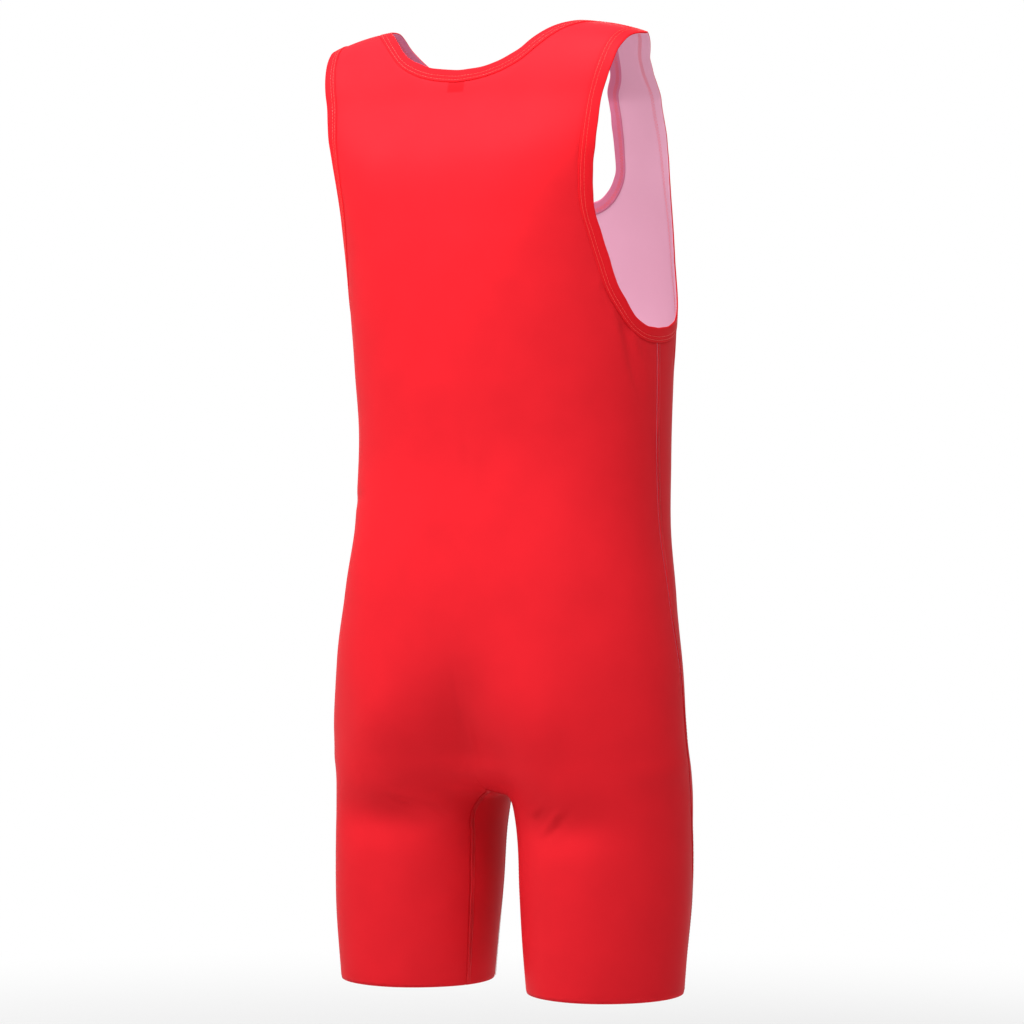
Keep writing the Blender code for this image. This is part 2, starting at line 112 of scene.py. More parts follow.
# The field is below nought inside the body: |x/wide|^n + |y/deep|^n = 1 for the trunk, an ellipse for
# each thigh, and the three run together by the log of the sum of their exponentials. Both tables are read
# at a level held softly at the fork and at the thighs' top, by the log of one plus an exponential
def bodyField(p):
    x, y, z = p[..., 0], p[..., 1], p[..., 2]
    body = wornForm
    y = y - seatSwell(x, z) * smoothStep(y / body["seatEase"])
    soft = body["soft"]
    level = body["forkLevel"] + soft * np.logaddexp(0, (z - body["forkLevel"]) / soft)
    level = np.minimum(level, body["topLevel"])
    wide, back, front, full = np.moveaxis(smoothTable(body["trunk"], level), -1, 0)
    mid, deep = (back + front) / 2, (back - front) / 2
    top = np.clip(z - body["shoulderLevel"], 0, None) / body["shoulderRise"]
    low = np.clip(body["forkLevel"] - z, 0, None) / body["forkDrop"]
    ease = smoothStep(top)
    behind = np.clip(y - mid, 0, None) / deep
    before = (np.clip(mid + (body["shoulderRidge"] - mid) * ease - y, 0, None)
              / (deep + (body["shoulderFall"] - deep) * ease))
    ends = top**body["endPower"] + low**body["endPower"]
    r = np.abs(x / wide)**full + behind**full + before**full + ends
    parts = [(r**(1 / full) - 1) * body["trunkSize"]]
    level = body["thighTop"] - soft * np.logaddexp(0, (body["thighTop"] - z) / soft)
    level = np.maximum(level, body["thighFoot"])
    centre, wide, back, front = np.moveaxis(smoothTable(body["thigh"], level), -1, 0)
    mid, deep = (back + front) / 2, (back - front) / 2
    top = np.clip(z - body["thighTop"], 0, None) / body["thighRise"]
    for side in (1, -1):
        r = ((x - side * centre) / wide)**2 + ((y - mid) / deep)**2 + top**2
        parts.append((np.sqrt(r) - 1) * body["thighSize"])
    f = np.stack(parts)
    least = f.min(0)
    return least - body["blend"] * np.log(np.exp((least - f) / body["blend"]).sum(0))


def unit(v):
    return v / np.linalg.norm(v, axis=-1, keepdims=True)


# The field's central difference along each axis, over twice this step
step = 2e-4


def fieldRise(p):
    return np.stack([bodyField(p + step * e) - bodyField(p - step * e) for e in np.eye(3)], -1)


def outwardAt(p):
    return unit(fieldRise(p))


# A ray's first way out of the body: marched in even steps, then halved down to the surface
def castRays(start, way, reach=0.26, steps=52):
    far = np.full(start.shape[:-1], reach)
    found = np.zeros(start.shape[:-1], bool)
    for t in np.linspace(0, reach, steps + 1)[1:]:
        out = (bodyField(start + t * way) > 0) & ~found
        far[out] = t
        found |= out
    near = far - reach / steps
    for _ in range(20):
        t = (near + far) / 2
        inside = bodyField(start + t[..., None] * way) < 0
        near = np.where(inside, t, near)
        far = np.where(inside, far, t)
    return start + t[..., None] * way


# Newton's steps along the field's slope: p minus f times its gradient over the gradient squared
def settle(p):
    for _ in range(5):
        g = fieldRise(p) / (2 * step)
        p = p - (bodyField(p) / (g**2).sum(-1))[..., None] * g
    return p


# Guide points go out from the upright axis low down and straight over the shoulder high up
def aimAtForm(guide):
    body = wornForm
    w = smoothStep((guide[..., 2] - body["aimLevel"]) / body["aimRise"])
    high = np.clip((guide[..., 2] + 0.1) / 0.1, 0, 1)
    start = np.stack([guide[..., 0] * w * 0.97, np.full(w.shape, body["axis"]),
                      np.minimum(guide[..., 2], body["aimTop"] - body["aimDrop"] * high)], -1)
    return castRays(start, unit(guide - start))


def runLength(curve):
    return np.concatenate([[0], np.cumsum(np.linalg.norm(np.diff(curve, axis=0), axis=1))])


# Points at shares of a guide curve's length
def edgeAt(curve, share):
    run = runLength(curve)
    return smoothTable(np.column_stack([run / run[-1], curve]), np.asarray(share, float))


def mirrored(grid):
    return grid * np.array([-1, 1, 1])


# What the pattern cutter would change: seams, free edges and how finely the cloth is meshed
cut = {
    "hem": -0.8447,
    "neckBinding": 0.0100, "armBinding": 0.0120,
    # side seam: level, where its ray starts across, angle from the side in degrees
    "side": np.array([
        (-0.263, 0.000, 1.0), (-0.360, 0.000, 0.0), (-0.450, 0.000, -1.0), (-0.540, 0.015, -2.5),
        (-0.600, 0.045, -6.5), (-0.660, 0.080, -12.5), (-0.720, 0.094, -20.0), (-0.780, 0.095, -26.0),
        (-0.850, 0.095, -30.0)]),
    # inner leg seam, then centre line: level, the ray's start across and up, its angles across and up
    "inner": np.array([
        (-0.850, 0.095, -0.850, 155.0, 0.0), (-0.790, 0.095, -0.790, 155.0, 0.0),
        (-0.735, 0.095, -0.735, 155.0, 0.0), (-0.710, 0.092, -0.710, 154.0, -2.0),
        (-0.695, 0.083, -0.696, 150.0, -6.0), (-0.681, 0.058, -0.680, 135.0, -13.0),
        (-0.669, 0.025, -0.663, 109.0, -20.5), (-0.658, 0.000, -0.645, 90.0, -25.0),
        (-0.630, 0.000, -0.622, 90.0, -14.0), (-0.590, 0.000, -0.588, 90.0, -3.0),
        (-0.550, 0.000, -0.550, 90.0, 0.0), (-0.263, 0.000, -0.255, 90.0, 0.0)]),
    "levels": [-0.8447, -0.830, -0.812, -0.792, -0.772, -0.752, -0.735, -0.720, -0.708, -0.697, -0.687,
               -0.678, -0.670, -0.664, -0.658, -0.648, -0.634, -0.618, -0.600, -0.582, -0.562, -0.540,
               -0.515, -0.485, -0.452, -0.420, -0.388, -0.356, -0.326, -0.299],
    "forkRow": 14,          # the level where the gusset meets the centre line
    "yokeLevel": -0.244,
    # free edges of the armhole and the neck: across, front to back, up
    "backArm": np.array([
        (0.1490, -0.035, -0.2630), (0.1487, -0.018, -0.2615), (0.1475, -0.003, -0.2550),
        (0.1440, 0.009, -0.2430), (0.1380, 0.020, -0.2270), (0.1345, 0.029, -0.2060),
        (0.1312, 0.037, -0.1850), (0.1290, 0.047, -0.1600), (0.1300, 0.052, -0.1310),
        (0.1336, 0.052, -0.0970), (0.1380, 0.049, -0.0675), (0.1430, 0.042, -0.0430),
        (0.1480, 0.027, -0.0215), (0.1550, 0.002, -0.0125)]),
    "frontArm": np.array([
        (0.1490, -0.035, -0.2630), (0.1470, -0.054, -0.2610), (0.1410, -0.075, -0.2550),
        (0.1335, -0.091, -0.2420), (0.1290, -0.100, -0.2200), (0.1270, -0.099, -0.1860),
        (0.1255, -0.096, -0.1500), (0.1245, -0.092, -0.1055), (0.1235, -0.082, -0.0700),
        (0.1260, -0.067, -0.0460), (0.1330, -0.047, -0.0280), (0.1440, -0.024, -0.0165),
        (0.1550, 0.002, -0.0125)]),
    "backNeck": np.array([
        (0.0000, 0.061, -0.0392), (0.0200, 0.060, -0.0371), (0.0385, 0.058, -0.0323),
        (0.0540, 0.054, -0.0247), (0.0680, 0.044, -0.0136), (0.0812, 0.032, -0.0040),
        (0.0912, 0.020, 0.0004), (0.0960, 0.002, 0.0016)]),
    "frontNeck": np.array([
        (0.0000, -0.126, -0.1514), (0.0180, -0.125, -0.1498), (0.0355, -0.124, -0.1448),
        (0.0490, -0.120, -0.1352), (0.0587, -0.116, -0.1218), (0.0638, -0.107, -0.1000),
        (0.0678, -0.096, -0.0720), (0.0700, -0.089, -0.0440), (0.0800, -0.072, -0.0375),
        (0.0930, -0.044, -0.0200), (0.0975, -0.030, -0.0110), (0.0985, -0.016, -0.0035),
        (0.0960, 0.002, 0.0016)]),
    # shares of an edge's length: where the armhole turns up, where the strap starts on it and on the neck
    "backSplit": (0.14, 0.62, 0.62), "frontSplit": (0.15, 0.52, 0.40),
    "columns": 14, "pitColumns": 3, "strapColumns": 5,
    "bodyRows": (9, 8), "strapRows": (11, 13),
    "fine": 6,      # mesh columns or rows for each of the above
    "rowHeight": 0.0165,    # height of the lowest grid's cloth that gets that many rows
    "easeFrom": -0.388,     # above this level the rows bend up to the armhole
}


# Direction in the cloth, square to a closed edge: outward crossed with the edge's own direction
def sideways(ring, towards):
    tangent = unit(np.roll(ring, -1, 0) - np.roll(ring, 1, 0))
    across = unit(np.cross(outwardAt(ring), tangent))
    return across * np.sign((across * towards).sum())


# The seam line of a binding, one width in from the free edge
def seamLine(ring, width):
    ring = settle(ring)
    return settle(ring + sideways(ring, ring - ring.mean(0)) * width)


# A four-sided patch: the two ruled surfaces between facing edges, less the one through the corners
def patch(bottom, top, left, right):
    v = np.linspace(0, 1, len(left))[:, None, None]
    u = np.linspace(0, 1, len(bottom))[None, :, None]
    return ((1 - v) * bottom + v * top + (1 - u) * left[:, None] + u * right[:, None]
            - (1 - u) * (1 - v) * bottom[0] - u * (1 - v) * bottom[-1]
            - (1 - u) * v * top[0] - u * v * top[-1])


# Column places from the side seam to the inner edge: steps start fine at both seams and widen between
def columnPlaces(count):
    i = np.arange(count)
    step = 0.22 + 0.78 * smoothStep((np.minimum(i, count - 1 - i) - 6) / 6)
    place = np.concatenate([[0], np.cumsum(step)])
    return place / place[-1]


# Mesh rows between the listed levels, about as far apart as the columns are
def finerRows(coarse, fine):
    steps = np.maximum(1, np.round(fine * np.diff(coarse) / cut["rowHeight"])).astype(int)
    return np.concatenate([np.linspace(a, b, n, endpoint=False) for a, b, n in zip(coarse, coarse[1:], steps)]
                          + [coarse[-1:]])


# Half a panel as three grids on the worn form: hem to armpit, armpit to strap, and the strap. face is 1
# behind and -1 in front. The lowest grid is cast from the axis, and the others are patches between their
# edges
def panelGrids(face, arm, neck, split, bodyRows, strapRows):
    fine, n, pit = cut["fine"], cut["strapColumns"] * cut["fine"], cut["pitColumns"] * cut["fine"]
    columns = cut["columns"] * fine
    u = columnPlaces(columns)
    coarse = np.array(cut["levels"] + [arm[0, 2]])
    level = finerRows(coarse, fine)
    across, turn = smoothTable(cut["side"], level).T
    inAcross, inUp, inTurn, inTilt = smoothTable(cut["inner"], level).T
    start = np.stack([across[:, None] * (1 - u) + inAcross[:, None] * u,
                      np.full((len(level), len(u)), wornForm["axis"]),
                      level[:, None] * (1 - u) + inUp[:, None] * u], -1)
    a = np.radians((turn * face)[:, None] * (1 - u) + inTurn[:, None] * u)
    b = np.radians(inTilt[:, None] * u**2)
    main = castRays(start, np.stack([np.cos(a) * np.cos(b), face * np.sin(a) * np.cos(b), np.sin(b)], -1))

    turned = edgeAt(arm, split[0] * u[:pit + 1] / u[pit])
    centre = np.array([0, 0.09 * face + wornForm["axis"] * (face < 0), cut["yokeLevel"]])
    share = ((u[pit:] - u[pit]) / (1 - u[pit]))[:, None]
    row = aimAtForm(np.vstack([turned, (turned[-1] + (centre - turned[-1]) * share)[1:]]))
    ease = smoothStep((level - cut["easeFrom"]) / (level[-1] - cut["easeFrom"]))[:, None, None]
    high = level > cut["easeFrom"]
    main[high] = aimAtForm(main + (row - main[-1]) * ease)[high]

    side = edgeAt(arm, np.linspace(split[0], split[1], bodyRows * fine + 1))
    middle = np.linspace(cut["yokeLevel"], neck[0, 2], bodyRows * fine + 1)
    onAxis = np.column_stack([0 * middle, wornForm["axis"] + 0 * middle, middle])
    middle = castRays(onAxis, np.array([0, face, 0.0]))
    corner = edgeAt(neck, [split[2]])[0]
    inside = (u[pit:pit + n + 1] - u[pit]) / (u[pit + n] - u[pit])
    base = side[-1] + (corner - side[-1]) * inside[:, None]
    scoop = edgeAt(neck, split[2] * (1 - u[pit + n:]) / (1 - u[pit + n]))
    body = aimAtForm(patch(main[-1, pit:], np.vstack([base, scoop[1:]]), aimAtForm(side), middle))
    strapSide = edgeAt(arm, np.linspace(split[1], 1, strapRows * fine + 1))
    strapNeck = edgeAt(neck, np.linspace(split[2], 1, strapRows * fine + 1))
    top = strapSide[-1] + (strapNeck[-1] - strapSide[-1]) * inside[:, None]
    strap = aimAtForm(patch(base, top, strapSide, strapNeck))
    fork = int(np.abs(level - cut["levels"][cut["forkRow"]]).argmin())
    main[fork:, -1, 0] = 0
    body[:, -1, 0] = 0
    body[0] = main[-1, pit:]
    strap[0] = body[-1, :n + 1]
    return {"main": main, "body": body, "strap": strap, "fork": fork, "pit": pit, "n": n, "face": face}


# The armhole edge and the neck edge of a half panel, each up to the shoulder seam
def freeEdges(half):
    n = half["n"]
    arm = np.concatenate([half["main"][-1, :half["pit"] + 1], half["body"][1:, 0], half["strap"][1:, 0]])
    neck = np.concatenate([half["body"][-1, n:][::-1], half["strap"][1:, n]])
    return arm, neck


ring = seamLine(np.concatenate([cut["backArm"], cut["frontArm"][::-1][1:-1]]), cut["armBinding"])
turnAt = len(cut["backArm"])
backArm, frontArm = ring[:turnAt], np.concatenate([ring[turnAt - 1:], ring[:1]])[::-1]
halfRing = np.concatenate([cut["backNeck"], cut["frontNeck"][::-1][1:]])
ring = seamLine(np.concatenate([halfRing, mirrored(halfRing)[::-1][1:-1]]), cut["neckBinding"])
turnAt = len(cut["backNeck"])
backNeck, frontNeck = ring[:turnAt], ring[turnAt - 1:len(halfRing)][::-1]
backHalf = panelGrids(1, backArm, backNeck, cut["backSplit"], cut["bodyRows"][0], cut["strapRows"][0])
frontHalf = panelGrids(-1, frontArm, frontNeck, cut["frontSplit"], cut["bodyRows"][1], cut["strapRows"][1])
armBack, neckBack = freeEdges(backHalf)
armFront, neckFront = freeEdges(frontHalf)
armRing = np.concatenate([armBack, armFront[::-1][1:-1]])
neckHalf = np.concatenate([neckBack, neckFront[::-1][1:]])
neckRing = np.concatenate([neckHalf, mirrored(neckHalf)[::-1][1:-1]])
print("cut laid out on the worn form")

# Creases: height (below nought is a trough), half width, how strong it still is at its first
# and last point, and its path over the body (across, front to back, up)
creases = [
    # below the wearer's right armhole, as photographed
    (-0.0020, 0.0046, (1.0, 0.0), [(-0.1297, 0.0283, -0.2290), (-0.1342, 0.0169, -0.2480),
        (-0.1384, 0.0080, -0.2750), (-0.1412, -0.0020, -0.3040), (-0.1428, -0.0125, -0.3270),
        (-0.1435, -0.0200, -0.3420)]),
    (-0.0020, 0.0044, (1.0, 0.0), [(-0.1372, 0.0130, -0.2480), (-0.1400, 0.0040, -0.2720),
        (-0.1420, -0.0060, -0.2940), (-0.1432, -0.0130, -0.3080), (-0.1440, -0.0180, -0.3230)]),
    (-0.0011, 0.0040, (1.0, 0.0), [(-0.1432, -0.0060, -0.2680), (-0.1442, -0.0120, -0.2860),
        (-0.1448, -0.0180, -0.3000)]),
    # below the left armhole, the same pull with another spacing
    (-0.0018, 0.0050, (1.0, 0.0), [(0.1310, 0.0260, -0.2320), (0.1360, 0.0130, -0.2560),
        (0.1400, 0.0010, -0.2850), (0.1430, -0.0110, -0.3150)]),
    (-0.0015, 0.0046, (1.0, 0.0), [(0.1400, 0.0060, -0.2550), (0.1430, -0.0060, -0.2800),
        (0.1448, -0.0150, -0.3060)]),
    # in front of both armholes
    (-0.0020, 0.0042, (1.0, 0.0), [(-0.1350, -0.0960, -0.2500), (-0.1380, -0.0850, -0.2760),
        (-0.1410, -0.0740, -0.3040)]),
    (-0.0022, 0.0044, (1.0, 0.0), [(0.1340, -0.0990, -0.2460), (0.1370, -0.0890, -0.2780),
        (0.1400, -0.0780, -0.3160)]),
    (-0.0010, 0.0040, (0.8, 0.0), [(0.1440, -0.0700, -0.2700), (0.1450, -0.0600, -0.2920),
        (0.1455, -0.0520, -0.3120)]),
    # under the seat, left leg
    (-0.0010, 0.0036, (0.0, 0.0), [(0.0870, 0.0475, -0.6700), (0.0730, 0.0450, -0.6775),
        (0.0600, 0.0400, -0.6850), (0.0500, 0.0330, -0.6930)]),
    (0.0010, 0.0032, (0.0, 0.0), [(0.0840, 0.0470, -0.6650), (0.0690, 0.0440, -0.6735),
        (0.0570, 0.0385, -0.6805)]),
    (0.0010, 0.0032, (0.0, 0.0), [(0.0560, 0.0390, -0.6700), (0.0441, 0.0300, -0.6790),
        (0.0310, 0.0130, -0.6920)]),
    (-0.0009, 0.0036, (0.0, 0.0), [(0.0530, 0.0370, -0.6760), (0.0420, 0.0280, -0.6850),
        (0.0300, 0.0110, -0.6980)]),
    # under the seat, right leg
    (0.0015, 0.0030, (0.0, 0.0), [(-0.0640, 0.0385, -0.7040), (-0.0760, 0.0440, -0.6945),
        (-0.0880, 0.0468, -0.6845), (-0.1000, 0.0475, -0.6760)]),
    (-0.0009, 0.0040, (0.0, 0.0), [(-0.0730, 0.0425, -0.7060), (-0.0850, 0.0462, -0.6950),
        (-0.0970, 0.0475, -0.6850), (-0.1100, 0.0465, -0.6760)]),
    (0.0010, 0.0028, (0.0, 0.0), [(-0.0560, 0.0365, -0.6890), (-0.0650, 0.0425, -0.6810),
        (-0.0740, 0.0460, -0.6750)]),
    (-0.0007, 0.0034, (0.0, 0.0), [(-0.0600, 0.0370, -0.6940), (-0.0700, 0.0430, -0.6850),
        (-0.0790, 0.0460, -0.6780)]),
    # faint upright marks in the small of the back, and across the waist
    (-0.0004, 0.0050, (0.0, 0.0), [(-0.0120, 0.0720, -0.3380), (-0.0140, 0.0700, -0.3650),
        (-0.0160, 0.0690, -0.3950)]),
    (0.0004, 0.0050, (0.0, 0.0), [(-0.0240, 0.0720, -0.3600), (-0.0250, 0.0700, -0.3850),
        (-0.0280, 0.0690, -0.4100)]),
    (-0.0006, 0.0070, (0.3, 0.0), [(0.1420, -0.0100, -0.4180), (0.1250, 0.0300, -0.4120),
        (0.0900, 0.0580, -0.4060)]),
    # front: lines from the fork towards the hips, and below the chest
    (-0.0015, 0.0048, (0.4, 0.0), [(0.0200, -0.0900, -0.6480), (0.0500, -0.1200, -0.6280),
        (0.0900, -0.1260, -0.6020)]),
    (-0.0011, 0.0040, (0.4, 0.0), [(0.0240, -0.0950, -0.6620), (0.0560, -0.1180, -0.6480),
        (0.0900, -0.1230, -0.6300)]),
    (-0.0014, 0.0045, (0.4, 0.0), [(-0.0200, -0.0900, -0.6500), (-0.0480, -0.1190, -0.6330),
        (-0.0850, -0.1270, -0.6120)]),
    (-0.0010, 0.0042, (0.4, 0.0), [(-0.0260, -0.0980, -0.6660), (-0.0600, -0.1190, -0.6560),
        (-0.0980, -0.1210, -0.6400)]),
    (-0.0007, 0.0080, (0.0, 0.0), [(-0.1000, -0.1230, -0.3950), (-0.0500, -0.1450, -0.4020),
        (0.0050, -0.1480, -0.3990)]),
    (-0.0006, 0.0075, (0.0, 0.0), [(0.0950, -0.1260, -0.4300), (0.0450, -0.1420, -0.4360),
        (0.0000, -0.1440, -0.4320)]),
]


# Distance to a path's nearest stretch, and how far along it that lies
def nearPath(points, path):
    start, run = path[:-1], path[1:] - path[:-1]
    t = np.clip(((points[:, None] - start) * run).sum(-1) / (run**2).sum(-1), 0, 1)
    gap = np.linalg.norm(points[:, None] - (start + t[..., None] * run), axis=-1)
    k = gap.argmin(1)
    pick = np.arange(len(points))
    return gap[pick, k], (k + t[pick, k]) / len(run)


creaseGain = 1.6        # makes up for what the wider bell takes off the crest


# Height of all creases at each point: height times (a bell of the crease's width less 0.45 of a bell 2.1
# times as wide), eased off at both ends of its path
def creaseHeight(points):
    total = np.zeros(len(points))
    for height, wide, (first, last), path in creases:
        fine = settle(edgeAt(np.array(path), np.linspace(0, 1, 20)))
        reach = np.linalg.norm(fine - fine.mean(0), axis=1).max() + 5 * wide
        near = np.flatnonzero(np.linalg.norm(points - fine.mean(0), axis=1) < reach)
        if not len(near):
            continue
        gap, along = nearPath(points[near], fine)
        fade = first + (1 - first) * smoothStep(along / 0.35)
        fade = fade * (last + (1 - last) * smoothStep((1 - along) / 0.5))
        bell = np.exp(-(gap / wide)**2) - 0.45 * np.exp(-(gap / (2.1 * wide))**2)
        total[near] += height * fade * bell * creaseGain
    return total


# Slow unevenness of hanging knit: a few long sine waves over the body, each with its own direction and
# phase
unevenness = {"waves": 9, "height": 0.00030, "shortest": 0.045, "longest": 0.16, "seed": 7}


def unevenHeight(points):
    rng = np.random.default_rng(unevenness["seed"])
    total = np.zeros(len(points))
    for _ in range(unevenness["waves"]):
        way = unit(rng.normal(size=3))
        length = rng.uniform(unevenness["shortest"], unevenness["longest"])
        total += np.sin(points @ way * 2 * np.pi / length + rng.uniform(0, 2 * np.pi))
    return total * unevenness["height"] / math.sqrt(unevenness["waves"])


# Flatlocked seams: one cloth lies over the other by the seam's width, a groove along its hidden side
seam = {"lap": 0.0044, "rise": 0.00042, "groove": 0.00050, "grooveWidth": 0.0011}


def lapHeight(gap, over):
    if over:
        return seam["rise"] * (1 - smoothStep((gap - seam["lap"] + 0.0006) / 0.0010))
    return -seam["groove"] * np.exp(-(gap / seam["grooveWidth"])**2)


# Cloth thickness, double over the hem's depth; edges are rolled in a little at the hem and at the bindings
panelWall = {"wall": 0.0008, "hemWall": 0.0015, "hemDepth": 0.024, "hemEase": 0.0015,
             "rollIn": 0.0004, "rollDepth": 0.0012}


def wallAt(fromHem):
    doubled = 1 - smoothStep((fromHem - panelWall["hemDepth"]) / panelWall["hemEase"])
    return panelWall["wall"] + (panelWall["hemWall"] - panelWall["wall"]) * doubled


def rolledIn(fromHem):
    return panelWall["rollIn"] * (1 - smoothStep(fromHem / panelWall["rollDepth"]))


# Joins grids that share edges into one open sheet whose faces look outward
def sheetOf(grids):
    points, faces, extra, count = [], [], [], 0
    for grid, flip, values in grids:
        rows, columns = grid.shape[:2]
        i = count + np.arange(rows * columns).reshape(rows, columns)
        quad = np.stack([i[:-1, :-1], i[:-1, 1:], i[1:, 1:], i[1:, :-1]], -1).reshape(-1, 4)
        faces.append(quad[:, ::-1] if flip else quad)
        points.append(grid.reshape(-1, 3))
        extra.append(values.reshape(rows * columns, -1))
        count += rows * columns
    points, faces, extra = np.concatenate(points), np.concatenate(faces), np.concatenate(extra)
    _, first, index = np.unique(np.round(points, 6), axis=0, return_index=True, return_inverse=True)
    points, faces, extra = points[first], index.reshape(-1)[faces], extra[first]
    a, b, c = (points[faces[:, k]] for k in range(3))
    if (np.cross(b - a, c - a) * outwardAt((a + c) / 2)).sum() < 0:
        faces = faces[:, ::-1]
    return points, faces, extra


# A closed thin shell: the outer sheet, the same sheet moved in by the wall, and a strip round every open
# edge
def shellOf(points, faces, outward, wall):
    n = len(points)
    ends = np.concatenate([faces[:, [k, (k + 1) % 4]] for k in range(4)])
    _, index, count = np.unique(np.sort(ends, axis=1), axis=0, return_index=True, return_counts=True)
    rim = ends[index[count == 1]]
    rim = np.stack([rim[:, 1], rim[:, 0], rim[:, 0] + n, rim[:, 1] + n], -1)
    under = points - outward * np.reshape(wall, (-1, 1))
    inner = np.concatenate([np.zeros(len(faces), int), np.ones(len(faces), int), np.zeros(len(rim), int)])
    return np.concatenate([points, under]), np.concatenate([faces, faces[:, ::-1] + n, rim]), inner


def addMesh(name, points, faces, materials, which=None, uv=None):
    mesh = bpy.data.meshes.new(name)
    mesh.from_pydata(points.tolist(), [], faces.tolist())
    for material in materials:
        mesh.materials.append(material)
    if which is not None:
        mesh.polygons.foreach_set("material_index", which)
    if uv is not None:
        layer = mesh.uv_layers.new(name="knit")
        corner = np.empty(len(mesh.loops), np.int32)
        mesh.loops.foreach_get("vertex_index", corner)
        layer.data.foreach_set("uv", uv[corner].astype(np.float32).ravel())
    mesh.shade_smooth()
    mesh.update()
    piece = bpy.data.objects.new(name, mesh)
    bpy.context.scene.collection.objects.link(piece)
    return piece


def stand(piece, nodes):
    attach(piece, "root")
    if nodes:
        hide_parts(*nodes)
    return piece


# Distance along a grid's rows from its first column, and from its last
def rowRun(grid):
    step = np.linalg.norm(np.diff(grid, axis=1), axis=2)
    run = np.concatenate([np.zeros((len(grid), 1)), np.cumsum(step, axis=1)], axis=1)
    return run, run[:, -1:] - run


# Knit coordinates and distances to the seams for each point of a half panel: across from the centre line
# or inner seam, up along the panel, to the side seam, to the inner seam, to the shoulder seam
def gridValues(half):
    far = 1.0
    values, up = {}, 0.0
    for part in ("main", "body", "strap"):
        grid = half[part]
        fromSide, fromInner = rowRun(grid)
        rise = np.linalg.norm(np.diff(grid, axis=0), axis=2).mean(1)
        rows = up + np.concatenate([[0], np.cumsum(rise)])
        up = rows[-1]
        across = fromInner.copy()
        toSide = fromSide if part == "main" else np.full(grid.shape[:2], far)
        toInner = np.full(grid.shape[:2], far)
        if part == "main":
            toInner[:half["fork"] + 1] = fromInner[:half["fork"] + 1]
            forkPoint = grid[half["fork"], -1]
            toInner = np.minimum(toInner, np.linalg.norm(grid - forkPoint, axis=2))
        if part == "strap":
            across += rowRun(half["body"][-1:, half["n"]:])[0][0, -1]
        toShoulder = np.full(grid.shape[:2], far)
        if part == "strap":
            toShoulder = (up - rows)[:, None] * np.ones(grid.shape[1])
        along = rows[:, None] * np.ones(grid.shape[1])
        values[part] = np.stack([across, along, toSide, toInner, toShoulder], -1)
    return values


def panelPiece(name, half, node):
    values = gridValues(half)
    flip = np.array([-1, 1, 1, 1, 1])
    grids = [(half[part], False, values[part]) for part in ("main", "body", "strap")]
    grids += [(mirrored(half[part]), True, values[part] * flip) for part in ("main", "body", "strap")]
    points, faces, extra = sheetOf(grids)
    outward = outwardAt(points)
    over = half["face"] < 0
    edges = np.concatenate([armRing, mirrored(armRing), neckRing])
    near = np.full(len(points), 1.0)
    for block in np.array_split(np.arange(len(points)), 40):
        near[block] = np.linalg.norm(points[block][:, None] - edges, axis=2).min(1)
    lift = (creaseHeight(points) + unevenHeight(points)) * smoothStep((near + 0.001) / 0.007)
    lift += lapHeight(extra[:, 2], over) + lapHeight(extra[:, 3], False) + lapHeight(extra[:, 4], over)
    lift -= 0.00035 * np.exp(-(near / 0.0016)**2)
    fromHem = points[:, 2] - cut["hem"]
    lift -= rolledIn(fromHem)
    shell, shellFaces, inner = shellOf(points + outward * lift[:, None], faces, outward, wallAt(fromHem))
    uv = np.tile(extra[:, :2], (2, 1))
    piece = addMesh(name, shell, shellFaces, [outsideCloth, insideCloth], inner, uv)
    stand(piece, [node])
    return piece


# Materials

def nodeMaterial(name, colour, roughness):
    material = bpy.data.materials.new(name)
    material.use_nodes = True
    shader = material.node_tree.nodes["Principled BSDF"]
    shader.inputs["Base Color"].default_value = (*colour, 1)
    shader.inputs["Roughness"].default_value = roughness
    return material, material.node_tree.nodes, material.node_tree.links, shader


knit = {"waleWidth": 0.00060, "courseHeight": 0.00050, "bump": 0.10, "depth": 0.00006,
        "mottle": 0.05, "mottleSize": 38.0, "ior": 1.08}


def addNode(nodes, kind, inputs=(), **facts):
    node = nodes.new("ShaderNode" + kind)
    for fact, value in facts.items():
        setattr(node, fact, value)
    for socket, value in dict(inputs).items():
        node.inputs[socket].default_value = value
    return node


